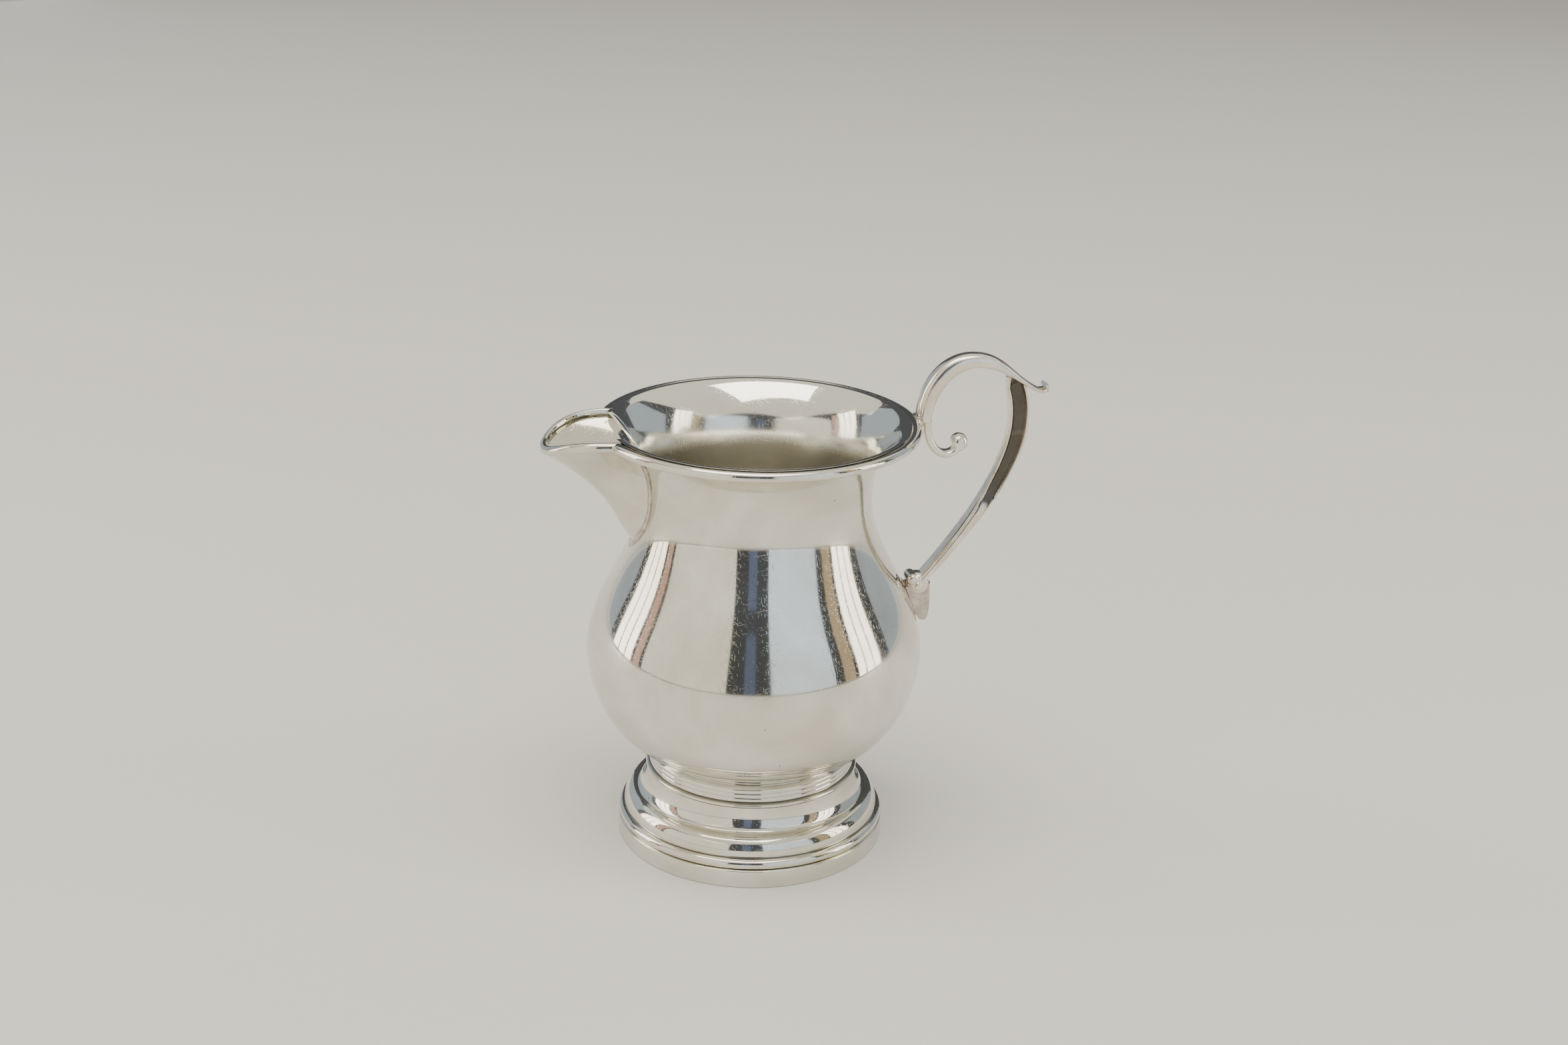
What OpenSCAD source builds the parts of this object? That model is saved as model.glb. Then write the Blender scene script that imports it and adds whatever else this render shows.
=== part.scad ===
// Footed cream jug: a spun baluster body, a soldered beak, a pedestal foot and a scroll handle.
// The origin is the centre of the foot's resting face. +Z is up, +X points to the handle
// and -X to the spout. The jug is mirrored about the plane y = 0.

/* [Body] */
// Height of the mouth's edge above the table
rim_h = 84; // [78:0.5:100]
// Outer radius of the flared mouth, without its wire
mouth_r = 28.7; // [25:0.1:34]
// Smallest outer radius of the neck
neck_r = 21.7; // [18.5:0.1:24]
// Distance from the mouth's edge down to the narrowest part of the neck
neck_drop = 14; // [11:0.5:16.5]
// Largest outer radius of the belly
belly_r = 32.2; // [29:0.1:38]
// Height of the fullest part of the belly above the table
belly_h = 38.4; // [34:0.2:44]
// Thickness of the body's sheet
body_wall = 0.8; // [0.6:0.1:1.2]

/* [Foot] */
// Height at which the foot meets the body
foot_h = 19.2; // [17:0.2:23]
// Outer radius of the band that the jug rests on
base_r = 26; // [23:0.1:30]
// Outer radius of the foot where it meets the body
waist_r = 18.6; // [16:0.1:20]
// Height of the plain resting band
band_h = 3.6; // [2.6:0.1:4.4]
// Width of the flat face that the jug rests on
band_w = 1.4; // [1.2:0.1:2.4]
// Thickness of the foot's sheet
foot_wall = 0.8; // [0.6:0.1:1.1]
// Number of fine reeds round the foot's collar
reeds = 3; // [1:1:4]
// Spacing of the reeds
reed_pitch = 0.9; // [0.7:0.05:1.1]

/* [Rim and spout] */
// Radius of the wire under the mouth and along the spout
wire_r = 0.95; // [0.7:0.05:1.2]
// Half the width of the spout where its edge leaves the mouth
spout_half_w = 10.8; // [8.5:0.1:12.5]
// Distance from the jug's axis to the tip of the spout
spout_reach = 40.2; // [36:0.2:48]
// Distance from the mouth's edge down to the root of the spout
spout_drop = 23.4; // [20:0.2:27]
// How far the tip of the spout lies below the mouth's edge
tip_droop = 3; // [1:0.1:4]
// Thickness of the spout's sheet
spout_wall = 0.9; // [0.7:0.1:1.2]

/* [Handle] */
// Height of the top of the handle's path above the mouth's edge
handle_rise = 10.7; // [8.5:0.1:13.5]
// Distance from the rim wire out to the handle's outermost path
handle_reach = 20.6; // [17.5:0.2:25]
// Distance from the rim wire out to the end of the flying leaf
leaf_reach = 24.2; // [22:0.2:29.5]
// Greatest thickness of the upper scroll
scroll_thick = 3.7; // [2.6:0.1:4.4]
// Width of the handle from side to side
handle_w = 4; // [3.2:0.1:5]
// Greatest thickness of the lower limb
limb_thick = 4.1; // [3:0.1:4.8]
// Depth of the channel in each side of the limb
channel_depth = 0.6; // [0.2:0.05:0.9]
// Height at which the limb's volute stands off the body
knuckle_h = 50.2; // [46:0.2:56]
// Radius of the volute at the foot of the limb
knuckle_r = 2.3; // [1.8:0.1:2.8]
// Length of the drop below the volute
shoe_len = 5.6; // [4:0.1:7]
// Radius of the ball that ends the inner scroll
ball_r = 1.65; // [1.2:0.05:2]

/* [Hidden] */

$fn = 96;
// Clearance between pieces that touch along curved faces
joint_gap = 0.02;
// Thickness of the solder under the handle's two ends
solder_gap = 0.5;

neck_h = rim_h - neck_drop;
// Steps along each stretch of the body's outline
low_steps = 12;
shoulder_steps = 20;
lip_steps = 12;
// Roundness of the lower belly and of the mouth's flare
belly_power = 1.8;
lip_power = 2.5;
// How far the middle of the bottom hangs below its edge
bottom_sag = 0.8;

// Outer radius of the body at height z
function low_r(z) =
    waist_r + (belly_r - waist_r)
    * pow(max(0, 1 - pow((belly_h - z) / (belly_h - foot_h), belly_power)), 1 / belly_power);
function shoulder_r(z) =
    neck_r + (belly_r - neck_r) * (1 + cos(180 * (z - belly_h) / (neck_h - belly_h))) / 2;
function lip_r(z) =
    neck_r + (mouth_r - neck_r) * pow((z - neck_h) / neck_drop, lip_power);
function body_r(z) =
    z < belly_h ? low_r(max(z, foot_h))
    : z < neck_h ? shoulder_r(z)
    : lip_r(min(z, rim_h));

body_outline = concat(
    [[0, foot_h - bottom_sag]],
    [for (i = [0:low_steps])
        let (z = foot_h + (belly_h - foot_h) * (1 - cos(90 * i / low_steps)))
        [low_r(z), z]],
    [for (i = [1:shoulder_steps])
        let (z = belly_h + (neck_h - belly_h) * i / shoulder_steps)
        [shoulder_r(z), z]],
    [for (i = [1:lip_steps])
        let (z = neck_h + neck_drop * i / lip_steps)
        [lip_r(z), z]]);

// The inner face lies one wall inside: square to the sheet below the belly's fullest part,
// and measured level above it, so that the mouth's edge stays flat
function along(line, i) =
    let (d = line[min(i + 1, len(line) - 1)] - line[max(i - 1, 0)])
    d / norm(d);
function inset(line, i, wall) =
    let (d = along(line, i), p = line[i])
    i == 0 ? [0, p[1] + wall]
    : p[1] < belly_h ? p + wall * [-d[1], d[0]]
    : p - [wall / d[1], 0];
body_inner = [for (i = [len(body_outline) - 1:-1:0]) inset(body_outline, i, body_wall)];

// Wire under the mouth, and how far its centre stands out from the mouth's edge
wire_stand = 0.8;
wire_ring_r = mouth_r + wire_stand;
wire_out_r = wire_ring_r + wire_r;
wire_z = rim_h - wire_r;
// Flat depth of the spout wire where it sits on the sheet's edge
wire_seat = 0.75 * wire_r;

// Spout. zeta runs from 0 at the root of the spout to 1 at its edge
spout_rows = 14;
spout_cols = 18;
spout_root_z = rim_h - spout_drop;
spout_waist_w = spout_half_w / 2;
cusp_angle = asin(spout_half_w / wire_ring_r);
keel = [
    [body_r(spout_root_z) - 1.2, spout_root_z],
    [body_r(spout_root_z) + 3.8, spout_root_z + 4],
    [neck_r + 3.3, neck_h],
    [spout_reach, rim_h - tip_droop - wire_r - wire_seat]];
function bezier(p, t) =
    pow(1 - t, 3) * p[0] + 3 * pow(1 - t, 2) * t * p[1]
    + 3 * (1 - t) * t * t * p[2] + t * t * t * p[3];
function keel_at(t) = bezier(keel, t);
function zeta(t) = (keel_at(t)[1] - keel[0][1]) / (keel[3][1] - keel[0][1]);
// Height of the sheet's edge at the bearing a from the pouring direction
function edge_z(a) = rim_h - wire_r - wire_seat - tip_droop * pow(cos(a), 3);
// Half-width of the spout where it leaves the body
function side_w(s) =
    0.3 + (spout_waist_w - 0.3) * (1 - pow(1 - s, 6))
    + (spout_half_w - spout_waist_w) * pow(s, 4);
// Distance from the axis to the spout's side line, which runs out to the rim wire at the top
function side_r(s, z) =
    body_r(z) + (wire_ring_r - body_r(z)) * pow(s, 6);
// How much faster the inner face rises than the outer one at the root of the spout
root_rise = 1.3;
// A point of the spout's sheet at row t and bearing a, set in by w
function spout_point(t, a, w) =
    let (
        s = zeta(t),
        low = spout_root_z + root_rise * w * (1 - s),
        z = low + (edge_z(a) - low) * s,
        y = side_w(s) - w,
        back = sqrt(pow(side_r(s, z), 2) - pow(side_w(s), 2)),
        front = max(keel_at(t)[0] - w, back + 0.2)
    )
    [-back - (front - back) * cos(a), max(y, 0.1) * sin(a), z];
// One row of points, with its two ends led towards the jug's axis, into the body
lead_in = 5;
function led(p) =
    let (r = norm([p[0], p[1]]), k = (r - lead_in) / r)
    [p[0] * k, p[1] * k, p[2]];
function spout_row(t, w) =
    let (arc = [for (j = [0:spout_cols]) spout_point(t, -90 + 180 * j / spout_cols, w)])
    concat([led(arc[0])], arc, [led(arc[spout_cols])]);

// Faces of a grid of rows and columns, and of its edge loops
function grid_faces(rows, cols, first, flip) =
    [for (i = [0:rows - 2], j = [0:cols - 2])
        let (a = first + i * cols + j, b = a + 1, c = b + cols, d = a + cols)
        flip ? [d, c, b, a] : [a, b, c, d]];
module split_polyhedron(points, quads) {
    polyhedron(points, [for (q = quads) each [[q[0], q[1], q[2]], [q[0], q[2], q[3]]]],
        convexity = 6);
}
// A solid between two equal grids that share their four edges
module thick_sheet(outer, inner, rows, cols) {
    n = rows * cols;
    bottom = [for (j = [0:cols - 2]) [j + 1, j, n + j, n + j + 1]];
    top = [for (j = [0:cols - 2]) let (a = (rows - 1) * cols + j) [a, a + 1, n + a + 1, n + a]];
    left = [for (i = [0:rows - 2]) let (a = i * cols) [a, a + cols, n + a + cols, n + a]];
    right = [for (i = [0:rows - 2]) let (a = i * cols + cols - 1)
        [a + cols, a, n + a, n + a + cols]];
    split_polyhedron(concat(outer, inner), concat(
        grid_faces(rows, cols, 0, false), grid_faces(rows, cols, n, true),
        bottom, top, left, right));
}
// A solid through a list of equal closed rings of points
module loft(rings) {
    k = len(rings[0]);
    last = (len(rings) - 1) * k;
    sides = [for (i = [0:len(rings) - 2], j = [0:k - 1])
        let (a = i * k + j, b = i * k + (j + 1) % k) [a, b, b + k, a + k]];
    polyhedron([for (r = rings) each r], concat(
        [[for (j = [k - 1:-1:0]) j]],
        [for (q = sides) each [[q[0], q[1], q[2]], [q[0], q[2], q[3]]]],
        [[for (j = [0:k - 1]) last + j]]), convexity = 6);
}

// Handle. Paths run in the plane y = 0 as [x, z]
root_sink = 0.8;
root_z = rim_h - root_sink;
root_x = wire_out_r + 1.05;
top_x = root_x + 9.5;
// Drop from the top of the path to the tip of the leaf, and radius of the tip's curl
leaf_drop = 6;
top_z = rim_h + handle_rise;
leaf_x = wire_out_r + leaf_reach;
leaf_z = top_z - leaf_drop;
curl_r = 1.1;
upper_rise = [
    [root_x, root_z],
    [root_x + 0.1, root_z + 0.56 * (top_z - root_z)],
    [top_x - 5.4, top_z],
    [top_x, top_z]];
upper_leaf = [
    [top_x, top_z],
    [top_x + 5.2, top_z],
    [leaf_x - 6.4, leaf_z + 2.5],
    [leaf_x - 1.2, leaf_z]];
upper_curl = [
    [leaf_x - 1.2, leaf_z],
    [leaf_x + 0.4, leaf_z - 0.6],
    [leaf_x + curl_r, leaf_z + 0.4],
    [leaf_x, leaf_z + curl_r]];
limb_out_x = wire_out_r + handle_reach;
knuckle_x = body_r(knuckle_h) + solder_gap + knuckle_r;
// Share of the way along the leaf at which the limb springs from under it
seat_t = 0.56;
seat = bezier(upper_leaf, seat_t);
limb_path = [
    seat,
    [limb_out_x + 3.2, seat[1] - 12],
    [limb_out_x - 5, knuckle_h + 0.4 * (seat[1] - knuckle_h)],
    [knuckle_x, knuckle_h]];

// Share of the greatest thickness along each path, as the four control values of a curve
rise_taper = [0.8, 1, 1.05, 0.82];
leaf_taper = [0.82, 0.7, 0.3, 0.24];
curl_taper = [0.24, 0.24, 0.3, 0.2];
limb_taper = [0.82, 1.25, 0.55, 0.45];

// Section of a cast scroll: a rounded oblong, with a channel let into both sides
section_sides = 20;
function rounded(x) = sign(x) * pow(abs(x), 0.75);
function section(centre, dir, half_t, half_w, channel) =
    [for (k = [0:section_sides - 1])
        let (
            q = 360 * k / section_sides,
            u = half_t * rounded(cos(q)),
            cut = channel * exp(-pow(cos(q) / 0.5, 2)),
            v = half_w * rounded(sin(q)) - sign(sin(q)) * cut)
        [centre[0] - dir[1] * u, v, centre[1] + dir[0] * u]];
function slope(p, t) =
    let (d = bezier(p, min(t + 0.01, 1)) - bezier(p, max(t - 0.01, 0)))
    d / norm(d);
// Rings along one stretch of a path
function stretch(path, taper, thick, width, channel, steps, first) =
    [for (i = [first:steps])
        let (t = i / steps)
        section(bezier(path, t), slope(path, t), thick / 2 * bezier(taper, t),
            width / 2, channel * pow(sin(180 * min(1, t / 0.85)), 0.5))];

inner_path = [
    [wire_out_r + 1.75, root_z],
    [wire_out_r + 1.75, root_z - 7.5],
    [wire_out_r + 7.4, root_z - 8.4],
    [wire_out_r + 8.2, root_z - 4.4]];
inner_taper = [0.5, 0.45, 0.4, 0.4];

// Foot
collar_r = waist_r + 1.4;
collar_z = foot_h - 5.3;
sweep_foot_z = collar_z - 4.6;
shoulder_w = 2.3;
shoulder_x = base_r - 1.1 - shoulder_w;
groove_z = band_h + 2.3;
bead_r = (groove_z - band_h - 0.3) / 2;
reed_r = reed_pitch / 2;
arc_steps = 8;
reed_z = collar_z + 0.9;
foot_outline = concat(
    [for (i = [0:arc_steps])
        let (q = -90 + 180 * i / arc_steps)
        [base_r - bead_r + bead_r * cos(q), band_h + bead_r + bead_r * sin(q)]],
    [[shoulder_x + shoulder_w - 0.1, groove_z - 0.15]],
    [for (i = [0:arc_steps])
        let (q = 90 - 90 * i / arc_steps)
        [shoulder_x + shoulder_w * sin(q), sweep_foot_z - (sweep_foot_z - groove_z) * (1 - cos(q))]],
    [for (i = [1:arc_steps])
        let (q = 90 - 90 * i / arc_steps)
        [shoulder_x - (shoulder_x - collar_r - 0.5) * cos(q),
            collar_z - (collar_z - sweep_foot_z) * sin(q)]],
    [for (i = [0:4])
        let (q = -90 + 180 * i / 4)
        [collar_r + 0.3 + 0.35 * cos(q), collar_z + 0.35 + 0.35 * sin(q)]],
    [for (k = [0:reeds - 1], i = [0:4])
        let (q = -80 + 160 * i / 4)
        [collar_r - 0.2 + reed_r * 0.5 * cos(q),
            reed_z + reed_r + k * reed_pitch + reed_r * sin(q)]],
    [[waist_r + 0.5, foot_h - 1.2], [waist_r, foot_h], [waist_r, foot_h + 1]]);
foot_inner = concat(
    [[waist_r - foot_wall, foot_h + 1], [waist_r - foot_wall, collar_z + 1]],
    [for (i = [0:arc_steps])
        let (q = 90 * i / arc_steps)
        [shoulder_x - (shoulder_x - collar_r - 0.5 + foot_wall) * cos(q),
            collar_z - (collar_z - sweep_foot_z + foot_wall) * sin(q)]],
    [for (i = [1:arc_steps])
        let (q = 90 * i / arc_steps)
        [shoulder_x + (shoulder_w - foot_wall) * sin(q),
            sweep_foot_z - foot_wall - (sweep_foot_z - groove_z - foot_wall) * (1 - cos(q))]],
    [[shoulder_x + shoulder_w - foot_wall, band_h]]);

// The body as a solid block, for fitting other pieces to its outside
module body_block() {
    rotate_extrude() polygon(concat(body_outline, [[0, rim_h]]));
}
// The same block with the handle's solder on it
pad_outline = [for (p = body_outline) if (p[1] < neck_h) [p[0] + solder_gap, p[1]]];
module pad_block(angle) {
    rotate([0, 0, -angle / 2]) rotate_extrude(angle = angle)
        polygon(concat([[1, foot_h]], [for (p = pad_outline) if (p[0] > 1) p], [[1, neck_h]]));
}

// Opening in the neck under the spout, seen along the x axis. The neck's sheet stands in
// from the spout's inner face by cut_edge
cut_steps = 12;
cut_edge = 0.3;
cut_root = 1.6;
module spout_cut() {
    side = [for (i = [0:cut_steps])
        let (s = i / cut_steps, z = spout_root_z + cut_root + (rim_h - spout_root_z) * s)
        [max(0.4, side_w(s) - spout_wall - cut_edge), z]];
    translate([-wire_out_r - 2, 0, 0]) rotate([90, 0, 90])
        linear_extrude(wire_out_r + 2 - neck_r / 2)
            polygon(concat(side, [for (i = [cut_steps:-1:0]) [-side[i][0], side[i][1]]]));
}

module body() {
    color("#c9c8c2") difference() {
        rotate_extrude() polygon(concat(body_outline, body_inner));
        spout_cut();
    }
}

module spout_sheet() {
    thick_sheet(
        [for (i = [0:spout_rows]) each spout_row(i / spout_rows, 0)],
        [for (i = [0:spout_rows]) each spout_row(i / spout_rows, spout_wall)],
        spout_rows + 1, spout_cols + 3);
}
module spout() {
    color("#c4c3bd") difference() {
        spout_sheet();
        body_block();
    }
}

module rim_wire() {
    open = cusp_angle;
    color("#d2d1cb") rotate([0, 0, -180 + open]) difference() {
        rotate_extrude(angle = 360 - 2 * open) union() {
            translate([wire_ring_r, wire_z]) circle(wire_r, $fn = 32);
            translate([neck_r, wire_z - 0.5]) square([wire_ring_r - neck_r, 0.5 + wire_r - 0.3]);
        }
        body_block();
    }
}

// Half-round wire on the edge of the spout, mitred against the rim wire's ends
wire_sides = 10;
module spout_wire() {
    steps = 28;
    bearings = [for (i = [0:steps]) -90 + 180 * i / steps];
    centres = [for (a = bearings)
        spout_point(1, a, spout_wall / 2) + [0, 0, wire_seat + joint_gap]];
    ends = [wire_r * 2.2, 0, 0];
    line = concat([centres[0] + ends], centres, [centres[steps] + ends]);
    rings = [for (i = [0:len(line) - 1])
        let (
            d = line[min(i + 1, len(line) - 1)] - line[max(i - 1, 0)],
            n = [-d[1], d[0], 0] / norm([d[0], d[1]]))
        [for (k = [0:wire_sides - 1])
            let (q = 232 - 284 * k / (wire_sides - 1), drop = max(sin(q) * wire_r, -wire_seat))
            line[i] + n * wire_r * cos(q) + [0, 0, drop]]];
    color("#d2d1cb") difference() {
        loft(rings);
        for (turn = [cusp_angle, -cusp_angle - 90])
            rotate([0, 0, 180 + turn])
                translate([0, 0, rim_h - 10]) cube([2 * mouth_r, 2 * mouth_r, 20]);
        body_block();
    }
}

module foot() {
    color("#bfbeb8") difference() {
        rotate_extrude() polygon(concat(foot_outline, foot_inner));
        body_block();
    }
}

module foot_ring() {
    edge = 0.25;
    color("#b9b8b2") rotate_extrude() polygon([
        [base_r - band_w, 0], [base_r - edge, 0], [base_r, edge],
        [base_r, band_h - edge], [base_r - edge, band_h], [base_r - band_w, band_h]]);
}

module handle_scroll() {
    color("#c8c4b8") difference() {
        loft(concat(
            stretch(upper_rise, rise_taper, scroll_thick, handle_w, 0, 10, 0),
            stretch(upper_leaf, leaf_taper, scroll_thick, handle_w, 0, 14, 1),
            stretch(upper_curl, curl_taper, scroll_thick, handle_w * 0.9, 0, 6, 1)));
        cylinder(r = wire_out_r + solder_gap, h = rim_h + solder_gap);
    }
}

module inner_scroll() {
    ball = inner_path[3];
    color("#c3bfb3") union() {
        loft(stretch(inner_path, inner_taper, scroll_thick, handle_w * 0.7, 0, 14, 0));
        translate([ball[0], 0, ball[1]]) sphere(ball_r);
    }
}

module handle_limb() {
    start = bezier(upper_leaf, seat_t);
    dir = slope(upper_leaf, seat_t);
    half = scroll_thick / 2 * bezier(leaf_taper, seat_t);
    under = start + half * [dir[1], -dir[0]] + [0, -joint_gap];
    top_ring = section(under, [dir[1], -dir[0]], limb_thick / 2 * limb_taper[0],
        handle_w / 2 * 0.9, 0);
    color("#c5c2b7") difference() {
        loft(concat([top_ring],
            stretch(limb_path, limb_taper, limb_thick, handle_w, channel_depth, 28, 3)));
        translate([knuckle_x, 0, knuckle_h]) rotate([90, 0, 0])
            cylinder(r = knuckle_r, h = handle_w * 2, center = true);
    }
}

module handle_knuckle() {
    eye_r = knuckle_r / 2;
    eye_stand = 0.6;
    color("#c0bdb2") difference() {
        union() {
            translate([knuckle_x, 0, knuckle_h]) rotate([90, 0, 0])
                cylinder(r = knuckle_r, h = handle_w, center = true);
            translate([knuckle_x - eye_r, 0, knuckle_h + eye_r]) rotate([90, 0, 0])
                cylinder(r = eye_r, h = handle_w + eye_stand, center = true);
        }
        pad_block(60);
    }
}

module handle_shoe() {
    steps = 8;
    low = knuckle_h - knuckle_r - shoe_len;
    rings = [for (i = [0:steps])
        let (
            t = i / steps,
            shrink = sqrt(1 - pow(t, 5) * 0.85),
            c = [knuckle_x + 0.8 + 0.9 * t, knuckle_h + (low - knuckle_h) * t])
        section(c, [0, -1], (2.2 - 0.6 * t) * shrink, handle_w * (0.5 - 0.12 * t) * shrink, 0)];
    color("#aeaba2") difference() {
        loft(rings);
        translate([knuckle_x, 0, knuckle_h]) rotate([90, 0, 0])
            cylinder(r = knuckle_r, h = handle_w * 2, center = true);
        pad_block(60);
    }
}

module rim_solder() {
    spread = 9;
    out = wire_out_r + solder_gap;
    top = rim_h + solder_gap;
    color("#a7a399") rotate([0, 0, -spread / 2]) difference() {
        rotate_extrude(angle = spread) polygon([
            [mouth_r - 0.4, rim_h], [mouth_r + 0.4, rim_h + 0.35], [out - 0.9, top],
            [out, top], [out, wire_z - 0.6], [wire_ring_r, wire_z - 0.6],
            [mouth_r - 0.4, wire_z]]);
        rim_wire();
        body_block();
    }
}

module shoe_solder() {
    low = knuckle_h - knuckle_r - shoe_len + 0.8;
    high = knuckle_h + 0.6;
    color("#a7a399") difference() {
        intersection() {
            pad_block(6);
            translate([0, -5, low]) cube([belly_r + 5, 10, high - low]);
        }
        body_block();
    }
}

// Solder bead in the corner between the spout and the neck
bead_sides = 6;
module spout_solder() {
    bead = 0.55;
    steps = 16;
    top_s = 0.86;
    side = [for (i = [0:steps])
        let (
            s = top_s * i / steps,
            z = spout_root_z + (edge_z(90) - spout_root_z) * s,
            y = side_w(s) + 0.3)
        [-sqrt(pow(body_r(z), 2) - y * y) - 0.15, y, z]];
    line = concat([for (i = [steps:-1:1]) side[i]],
        [[-body_r(spout_root_z) - 0.15, 0, spout_root_z - 0.6]],
        [for (i = [1:steps]) [side[i][0], -side[i][1], side[i][2]]]);
    rings = [for (i = [0:len(line) - 1])
        let (
            d = line[min(i + 1, len(line) - 1)] - line[max(i - 1, 0)],
            t = d / norm(d),
            out = [line[i][0], line[i][1], 0] / norm([line[i][0], line[i][1]]),
            b = cross(t, out) / norm(cross(t, out)),
            n = cross(b, t))
        [for (k = [0:bead_sides - 1])
            let (q = -360 * k / bead_sides)
            line[i] + bead * (n * cos(q) + b * sin(q))]];
    color("#a7a399") difference() {
        loft(rings);
        spout_sheet();
        body_block();
    }
}

module foot_solder() {
    leg = 0.8;
    edge = waist_r - foot_wall;
    color("#a7a399") difference() {
        rotate_extrude() polygon([
            [edge, foot_h - bottom_sag - leg], [edge, foot_h],
            [edge - leg - bottom_sag, foot_h], [edge - leg, foot_h - bottom_sag]]);
        body_block();
    }
}

body();
spout();
rim_wire();
spout_wire();
foot();
foot_ring();
handle_scroll();
inner_scroll();
handle_limb();
handle_knuckle();
handle_shoe();
rim_solder();
shoe_solder();
spout_solder();
foot_solder();
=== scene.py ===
# %% [markdown]
# # A small silver cream jug
#
# The jug has already been drafted as solids: a turned bowl, a foot, a soldered spout, a wire
# round the mouth and a cast handle. Here each solid is given the finer shape and the metal
# finish that make silver look like silver. We load the draft first, because every size and
# place below comes from it.

# %% Load the drafted jug
import math

import bmesh
import bpy
from mathutils import Matrix, Vector, noise


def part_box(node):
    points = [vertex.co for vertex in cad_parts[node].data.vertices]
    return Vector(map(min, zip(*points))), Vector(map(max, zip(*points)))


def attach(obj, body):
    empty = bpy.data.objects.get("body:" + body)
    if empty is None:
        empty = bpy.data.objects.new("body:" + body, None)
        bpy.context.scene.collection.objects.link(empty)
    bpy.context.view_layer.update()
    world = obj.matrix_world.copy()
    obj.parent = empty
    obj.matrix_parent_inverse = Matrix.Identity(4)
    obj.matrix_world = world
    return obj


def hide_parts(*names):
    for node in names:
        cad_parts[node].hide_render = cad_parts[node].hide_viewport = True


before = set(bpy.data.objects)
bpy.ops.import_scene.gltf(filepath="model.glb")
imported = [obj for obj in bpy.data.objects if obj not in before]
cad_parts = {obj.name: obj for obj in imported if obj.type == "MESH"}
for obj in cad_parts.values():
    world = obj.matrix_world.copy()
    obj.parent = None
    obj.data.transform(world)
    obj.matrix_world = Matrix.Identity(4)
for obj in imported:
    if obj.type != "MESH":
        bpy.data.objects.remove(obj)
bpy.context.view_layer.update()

# %% [markdown]
# ## Sizes
#
# A silversmith thinks in millimetres, so the shapes are drawn in millimetres and made metres
# at the very end. The main sizes are read from the drafted pieces. The few that a box can't
# tell, such as how narrow the neck is, are written here once.

# %% Read the main sizes
MM = 0.001


def box_mm(node):
    low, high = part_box(node)
    return low / MM, high / MM


_, body_high = box_mm("body")
_, foot_high = box_mm("foot")
_, ring_high = box_mm("foot_ring")
wire_low, wire_high = box_mm("rim_wire")
mouth_z = body_high.z
belly_r = body_high.y
waist_z = foot_high.z
base_r = ring_high.y
band_z = ring_high.z
wire_out_r = wire_high.y
wire_r = (wire_high.z - wire_low.z) / 2
wire_ring_r = wire_out_r - wire_r
print("mouth at", round(mouth_z, 2), "mm, belly", round(2 * belly_r, 2), "mm across")

# %% Sizes of the bowl's outline
mouth_r = 28.7
neck_r = 21.7
neck_z = mouth_z - 14
belly_z = 38.4
waist_r = 18.6
bottom_sag = 0.8
body_wall = 0.8
lower_power = 1.8
flare_power = 2.5
print("neck radius", neck_r, "mm at height", round(neck_z, 1))

# %% [markdown]
# ## The camera
#
# The camera looks slightly down into the mouth from in front, with the spout on its left.
# It stands close, so the near edge of the mouth looks larger than the far edge. We first
# point it at the middle of the jug, then turn it a little in its own frame, because the jug
# doesn't sit in the middle of the picture.

# %% Camera
VIEW_DISTANCE = 0.4107
VIEW_AZIMUTH = math.radians(-10)
VIEW_ELEVATION = math.radians(22.85)
AIM = Vector((0, 0, 0.045))

back = Vector((
    math.sin(VIEW_AZIMUTH) * math.cos(VIEW_ELEVATION),
    -math.cos(VIEW_AZIMUTH) * math.cos(VIEW_ELEVATION),
    math.sin(VIEW_ELEVATION)))
aimed = back.to_track_quat("Z", "Y").to_matrix()
small_turns = (
    Matrix.Rotation(math.radians(-0.74), 3, "Y")
    @ Matrix.Rotation(math.radians(2.48), 3, "X")
    @ Matrix.Rotation(math.radians(1.29), 3, "Z"))
camera_data = bpy.data.cameras.new("camera")
camera_data.sensor_width = 36
camera_data.lens = 48.98
camera_data.clip_start = 0.01
camera = bpy.data.objects.new("camera", camera_data)
camera.matrix_world = Matrix.Translation(AIM + back * VIEW_DISTANCE) @ (
    aimed @ small_turns).to_4x4()
bpy.context.collection.objects.link(camera)
bpy.context.scene.camera = camera
print("camera at", [round(v, 3) for v in camera.location])

# %% [markdown]
# ## The studio
#
# Polished silver has almost no colour of its own: what we see on it is the room. So the
# room is part of the finish. A pale floor gives the lower belly its grey, and tall soft
# panels, with dark gaps between them, give the bright bands that follow the curve.

# %% Floor
floor_mesh = bmesh.new()
bmesh.ops.create_circle(floor_mesh, cap_ends=True, segments=96, radius=4)
floor_data = bpy.data.meshes.new("floor")
floor_mesh.to_mesh(floor_data)
floor_mesh.free()
floor = bpy.data.objects.new("floor", floor_data)
bpy.context.collection.objects.link(floor)
floor_finish = bpy.data.materials.new("pale_floor")
floor_finish.use_nodes = True
floor_shader = floor_finish.node_tree.nodes["Principled BSDF"]
floor_shader.inputs["Base Color"].default_value = (0.74, 0.73, 0.71, 1)
floor_shader.inputs["Roughness"].default_value = 0.7
floor_shader.inputs["Specular IOR Level"].default_value = 0.2
floor_data.materials.append(floor_finish)
print("floor radius 4 m")

# %% Soft panels
WARM = (1.0, 0.93, 0.82)
CREAM = (1.0, 0.95, 0.80)
COOL = (0.78, 0.90, 1.0)
GOLD = (1.0, 0.72, 0.36)
BLUE = (0.35, 0.5, 1.0)
ROSE = (1.0, 0.58, 0.42)


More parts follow.
